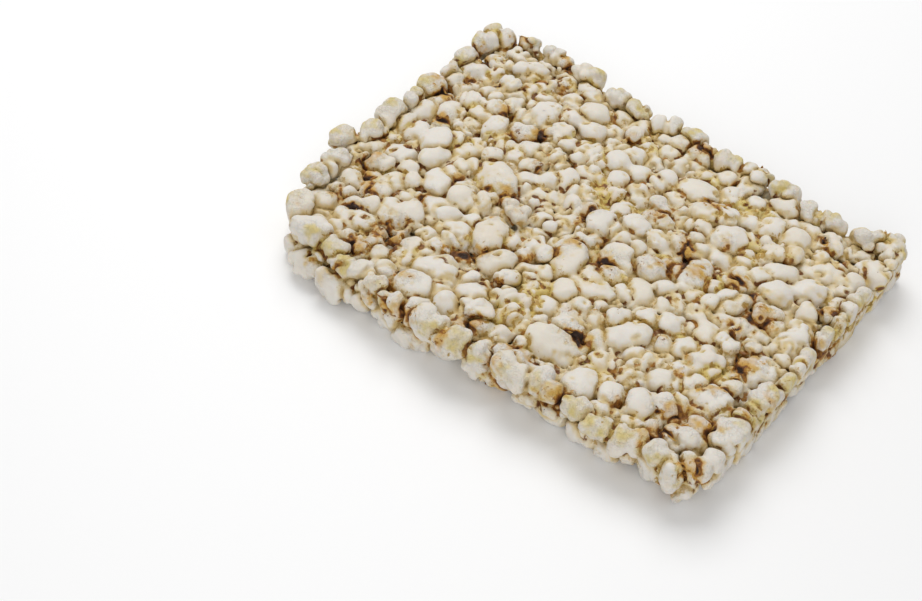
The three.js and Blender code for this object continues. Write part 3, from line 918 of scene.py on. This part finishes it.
class Nodes:
    """A new material, with short ways to add shader nodes to it."""

    def __init__(self, name):
        self.material = bpy.data.materials.new(name)
        self.material.use_nodes = True
        self.tree = self.material.node_tree
        self.place = self.node("TexCoord", "Object", {})

    def finished(self, looks):
        """The material, with these inputs of its shader."""
        for name, value in looks.items():
            self.put(self.tree.nodes["Principled BSDF"].inputs[name], value)
        return self.material

    def put(self, socket, value):
        if isinstance(value, bpy.types.NodeSocket):
            self.tree.links.new(value, socket)
        else:
            socket.default_value = (*value, 1.0) if socket.type == "RGBA" else value

    def node(self, kind, output, inputs, **settings):
        """The output of a new node with these inputs and settings."""
        node = self.tree.nodes.new("ShaderNode" + kind)
        for name, value in settings.items():
            setattr(node, name, value)
        for name, value in inputs.items():
            self.put(node.inputs[name], value)
        return node.outputs[output]

    def attribute(self, name):
        return self.node("Attribute", "Fac", {}, attribute_name=name)

    def noise(self, size, detail, roughness=0.5, distortion=0.0):
        """Noise from 0 to 1 whose bumps are about this many mm across."""
        place = self.node("Mapping", "Vector", {"Vector": self.place, "Scale": [1 / (size * MM)] * 3})
        look = {"Detail": detail, "Roughness": roughness, "Distortion": distortion}
        return self.node("TexNoise", "Fac", {"Vector": place, "Scale": 1.0, **look})

    def math(self, operation, *values):
        """The values taken together, one after the other."""
        total = values[0]
        for value in values[1:]:
            total = self.node("Math", "Value", {0: total, 1: value}, operation=operation)
        return total

    def add(self, *values):
        return self.math("ADD", *values)

    def times(self, *values):
        return self.math("MULTIPLY", *values)

    def most(self, *values):
        return self.math("MAXIMUM", *values)

    def swing(self, noise, amount):
        """Noise that swings about 0, this far in all."""
        return self.times(self.math("SUBTRACT", noise, 0.5), amount)

    def span(self, value, low, high, to_low=0.0, to_high=1.0):
        """The value's way from low to high, eased and held at both ends."""
        ends = {"From Min": low, "From Max": high, "To Min": to_low, "To Max": to_high}
        return self.node("MapRange", "Result", {"Value": value, **ends}, interpolation_type="SMOOTHSTEP")

    def mix(self, share, a, b):
        return self.node("Mix", 2, {0: share, 6: a, 7: b}, data_type="RGBA")  # its colour sockets

    def ramp(self, value, *stops):
        colour = self.node("ValToRGB", "Color", {"Fac": value})
        elements = colour.node.color_ramp.elements
        while len(elements) < len(stops):
            elements.new(0.5)
        for element, (position, stop) in zip(elements, stops):
            element.position, element.color = position, (*stop, 1.0)
        return colour

    def bump(self, height, depth, **under):
        """Bumps this many mm deep, over others if their Normal is given."""
        return self.node("Bump", "Normal", {"Distance": depth * MM, "Height": height, **under})


def toasted_ramp(n, value):
    return n.ramp(value, (0.15, GOLD), (0.36, CARAMEL), (0.64, BROWN), (0.97, BLACK_BROWN))


def rice_marks(n):
    """What the layers of colour go by: numbers kept for each vertex, and noises."""
    names = ("tint", "cavity", "crease", "fold", "brown", "husk")
    m = SimpleNamespace(**{name: n.attribute(name) for name in names})
    m.clouds, m.patches, m.soft = n.noise(7, 2), n.noise(3.2, 2), n.noise(1.8, 1)
    m.mottle, m.fine = n.noise(1.5, 3, 0.6), n.noise(0.45, 3, 0.6)
    m.edge = n.most(m.crease, m.fold)
    return m


def bare_rice(n, m):
    """Off-white to cream, with painted shade: warmer down the sides of the grains, and tan to brown low
    between them.
    """
    body = n.mix(n.span(m.tint, 0.3, 1.0, 0, 0.45), COOL_WHITE, CREAM)
    body = n.mix(n.span(m.clouds, 0.52, 0.7, 0, 0.4), body, BLUSH)
    body = n.mix(n.span(m.mottle, 0.5, 0.75, 0, 0.25), body, CREAM)
    # Painted shade: warmer cream down the grains' sides, by the creases and folds.
    side = n.add(m.crease, n.times(m.fold, 0.4))
    body = n.mix(n.span(side, 0.0, 0.6, 0, 0.7), body, SHADED_SIDE_CREAM)
    # Tan skin in patches, partly painted shade along the creases and folds.
    skin_and_crease_shade = n.add(m.crease, n.times(m.fold, 0.5), n.swing(m.patches, 2.4))
    body = n.mix(n.span(skin_and_crease_shade, 0.2, 1.0, 0, 0.7), body, SKIN_AND_SHADE_TAN)
    # Painted shade: tan, then brown, in the hollows between the grains, by how enclosed they lie.
    low = n.add(m.cavity, n.swing(m.mottle, 0.5))
    body = n.mix(n.span(low, 0.04, 0.5, 0, 0.66), body, SHADE_TAN)
    return n.mix(n.span(low, 0.5, 0.95), body, DEEP_SHADE_AND_SPECK_BROWN)


def husk_layer(n, m, body):
    """Olive lines in the creases, partly husk and partly painted shade, golden skins in patches, and small
    flecks along the edges.
    """
    # Olive lines darken every crease: partly husk, partly painted shade.
    line = n.times(n.span(m.crease, 0.6, 0.95), n.span(m.patches, 0.38, 0.58, 0.25, 1.0))
    body = n.mix(n.times(line, 0.9), body, OLIVE_HUSK_AND_SHADE_LINE)
    sides = n.span(n.add(m.crease, n.swing(m.soft, 1.4)), 0.25, 0.7)
    golden = n.times(sides, n.span(m.clouds, 0.54, 0.68))
    husked = n.span(n.add(m.husk, n.swing(m.soft, 2.0)), 0.65, 1.5)
    body = n.mix(n.times(n.most(golden, husked), 0.75), body, HUSK_YELLOW)
    fleck = n.span(n.add(n.noise(1.1, 3, 0.65), n.times(m.edge, 0.3)), 0.68, 0.76)
    fleck = n.times(fleck, n.span(m.edge, 0.0, 0.25), n.span(m.clouds, 0.44, 0.58))
    return n.mix(fleck, body, FLECK)


def stain_layer(n, m, body):
    """Toasted places: a glow, broken strokes, and dark brown down in the creases."""
    glow = n.add(n.times(m.brown, 0.8), n.times(m.crease, 0.5), n.swing(m.soft, 1.2))
    body = n.mix(n.times(n.span(glow, 0.1, 1.0), n.span(m.brown, 0.0, 0.35), 0.9), body, GLOW)
    strokes = n.span(n.add(n.noise(1.6, 3, 0.7), n.times(m.edge, 0.25)), 0.6, 0.68)
    strokes = n.times(strokes, n.span(m.brown, 0.1, 0.45))
    body = n.mix(strokes, body, n.ramp(m.mottle, (0.4, GLOW), (0.52, STROKE), (0.64, BROWN)))
    deep = n.most(n.span(m.crease, 0.15, 0.8), n.span(m.cavity, -0.1, 0.5))
    toasted = n.times(m.brown, n.add(0.12, n.times(deep, 1.3)))
    rough = n.add(n.swing(m.soft, 0.5), n.swing(m.fine, 0.45))
    toasted = n.add(toasted, n.times(rough, n.span(m.brown, 0.02, 0.35)))
    return n.mix(n.span(toasted, 0.16, 0.42), body, toasted_ramp(n, toasted))


def scrap_layer(n, m, body):
    """Thin dark lines where a scrap of bran lies along a crease, and dots anywhere."""
    scrap = n.times(n.span(m.crease, 0.5, 0.72), n.span(n.noise(2.2, 1), 0.56, 0.6))
    body = n.mix(scrap, body, n.ramp(m.mottle, (0.4, STROKE), (0.55, BROWN)))
    dots = n.span(n.noise(0.7, 1), 0.8, 0.83)
    return n.mix(dots, body, DEEP_SHADE_AND_SPECK_BROWN)


def grain_material():
    """Puffed rice: off-white, tan down in the creases as painted shade and husk, golden husk and toasted
    bran by places.
    """
    n = Nodes("puffed_rice")
    m = rice_marks(n)
    body = bare_rice(n, m)
    for layer in (husk_layer, stain_layer, scrap_layer):
        body = layer(n, m, body)
    wrinkle = n.swing(n.noise(0.7, 2, 0.6, 1.5), n.span(n.most(m.husk, m.brown), 0.0, 0.8))
    looks = {
        "Base Color": body,
        "Roughness": n.span(m.fine, 0.3, 0.7, 0.5, 0.75),
        "Specular IOR Level": 0.4,
        "Subsurface Weight": 0.15,
        "Subsurface Radius": (1.0, 0.6, 0.35),
        "Subsurface Scale": MM,
        "Normal": n.bump(wrinkle, 0.4, Normal=n.bump(m.fine, 0.07)),
    }
    return n.finished(looks)


def bran_material():
    """Bran: papery, from gold to nearly black, with fine streaks."""
    n = Nodes("bran")
    broad, streak = n.noise(4.0, 2), n.noise(0.5, 3, 0.6)
    value = n.add(n.swing(broad, 2.2), n.times(streak, 0.6), 0.15)
    looks = {
        "Base Color": toasted_ramp(n, value),
        "Roughness": n.span(streak, 0.3, 0.7, 0.4, 0.65),
        "Normal": n.bump(streak, 0.08),
    }
    return n.finished(looks)


# ---- The camera, the floor and the light ----


def camera():
    data = bpy.data.cameras.new("camera")
    data.lens, data.clip_end = LENS, CAMERA_REACH
    cam = placed(data)
    a, e = math.radians(AZIMUTH), math.radians(ELEVATION)
    back = Vector((math.sin(a) * math.cos(e), -math.cos(a) * math.cos(e), math.sin(e)))
    cam.matrix_world = (
        Matrix.Translation((AIM + back * AIM_DISTANCE) * MM)
        @ (-back).to_track_quat("-Z", "Y").to_matrix().to_4x4()
        @ Matrix.Rotation(math.radians(ROLL), 4, "Z")
    )
    bpy.context.scene.camera = cam


def floor():
    mesh = bpy.data.meshes.new("floor")
    corners = [(x * FLOOR_HALF, y * FLOOR_HALF, 0) for x, y in ((-1, -1), (1, -1), (1, 1), (-1, 1))]
    mesh.from_pydata(corners, [], [(0, 1, 2, 3)])
    mesh.materials.append(Nodes("floor").finished({"Base Color": FLOOR_WHITE}))
    placed(mesh)


def light(name, at, watts):
    data = bpy.data.lights.new(name, "AREA")
    data.energy, data.size = watts, LIGHT_SIZE
    lamp = placed(data)
    lamp.location = at
    lamp.rotation_mode = "QUATERNION"
    lamp.rotation_quaternion = (-Vector(at)).to_track_quat("-Z", "Y")


def sky():
    world = bpy.data.worlds.new("world")
    world.use_nodes = True
    background = world.node_tree.nodes["Background"]
    background.inputs["Color"].default_value = (1, 1, 1, 1)
    background.inputs["Strength"].default_value = SKY_STRENGTH
    bpy.context.scene.world = world
    bpy.context.scene.view_settings.view_transform = "Standard"


# ---- The cake ----


def grain_pieces(field, groove, marks, tints):
    """One mesh for each group of grains, cut from the others along the creases."""
    pieces = []
    for group in GROUPS:
        mine = field.groups[group]
        others = np.minimum.reduce([field.groups[other] for other in GROUPS if other != group])
        distance = in_mould(field, np.maximum(mine + groove, (mine - others) / 2))
        piece = thinned(mesh_of("grains_" + group, distance))
        mesh, places = piece.data, vertices_mm(piece.data)
        for name, volume in marks.items():
            store(mesh, name, sample(volume, places))
        nearest = np.clip(np.round((places - GRID_LOW) / VOXEL).astype(int), 0, np.array(field.size) - 1)
        store(mesh, "tint", tints[field.owner[tuple(nearest.T)]])
        if not group.startswith("rim"):
            flat_map(mesh, group.startswith("top"))
        pieces.append(piece)
    return pieces


def creases(field, between, tile):
    """How deep the grooves between grains are cut, and how much a crease shows as a line."""
    steep = steepness(between)
    away = between / np.maximum(steep, LEAST_SLOPE)
    fused = np.clip(noise_block(tile, field.whole, FUSE_SHIFT) * FUSE_SLOPE - FUSE_LEAST, 0, 1)
    line = np.clip(1 - away / CREASE_REACH, 0, 1) * np.clip(steep / SHARP_CREASE, FAINT_CREASE, 1)
    line *= 1 - FUSED_LINE * fused
    groove = (1 - fused) * GROOVE_DEPTH * np.exp(-((away / GROOVE_WIDTH) ** 2))
    groove -= np.maximum(fused * FUSE_REACH - between, 0) ** 2 / np.maximum(4 * fused * FUSE_REACH, TINY)
    return groove, line


def cake():
    rim, kernels = all_kernels()
    rng = np.random.default_rng(SEED)
    swells = [(noise_volume(rng, size), depth) for size, depth in SWELLS]
    folds = noise_volume(rng, FOLD_SIZE)
    wide, close = swells[0][0], swells[1][0]
    field = Field()
    core(field, rim, wide)
    for index, kernel in enumerate(kernels):
        grain(field, kernel, index, folds, swells)
    between = field.second - field.first
    groove, crease = creases(field, between, wide)
    solid = (in_mould(field, field.all + groove) < 0).astype(np.float32)
    # How enclosed each voxel is, -1 to 1: it places the painted shade between the grains and the toasted
    # brown down in the hollows.
    cavity = box_blur(box_blur(solid, CAVITY_RADIUS), CAVITY_RADIUS) * 2 - 1
    brown, husk = toast(field, rim, close, np.random.default_rng(SEED + 1))
    marks = {"crease": crease, "fold": field.fold, "cavity": cavity, "brown": brown, "husk": husk}
    tints = np.append(np.random.default_rng(SEED + 2).random(len(kernels)), 0.5).astype(np.float32)
    grains = grain_pieces(field, groove, marks, tints)
    rng = np.random.default_rng(SEED + 3)
    bran = flakes(flake_places(grains, between, rng), rng)
    rice = grain_material()
    for piece in grains:
        piece.data.materials.append(rice)
    bran.data.materials.append(bran_material())
    for piece in (*grains, bran):
        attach(piece, "root")
        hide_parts(NODE)


cake()
camera()
floor()
light("key", KEY_AT, KEY_WATTS)
light("fill", FILL_AT, FILL_WATTS)
sky()
